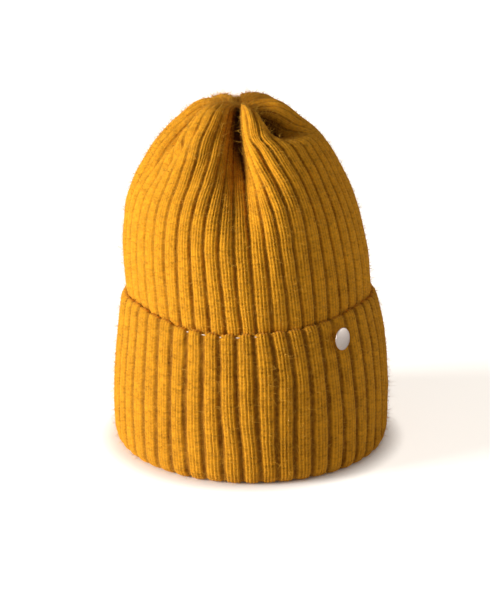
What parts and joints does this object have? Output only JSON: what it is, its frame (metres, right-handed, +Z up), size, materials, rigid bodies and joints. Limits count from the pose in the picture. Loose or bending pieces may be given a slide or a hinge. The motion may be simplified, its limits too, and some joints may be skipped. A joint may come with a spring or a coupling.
{
  "type": "knit hat",
  "caption": "Rib-knit beanie with a wide turned-up cuff, a crown gathered into soft lobes by deep folds, and a small plain round metal badge on the cuff.",
  "frame": {"origin": "middle of the ring on which the cuff's folded edge rests, on the floor plane", "axes": "+Z up through the crown, -Y the front of the hat, +X towards the side with the badge"},
  "size_m": [0.1664, 0.1664, 0.2091],
  "materials": {
    "wool_knit": "soft brushed wool rib knit, mustard yellow",
    "badge_metal": "satin silver"
  },
  "bodies": {
    "root": {"crown": "wool_knit", "cuff": "wool_knit", "badge": "badge_metal", "badge_post": "badge_metal"}
  },
  "joints": []
}
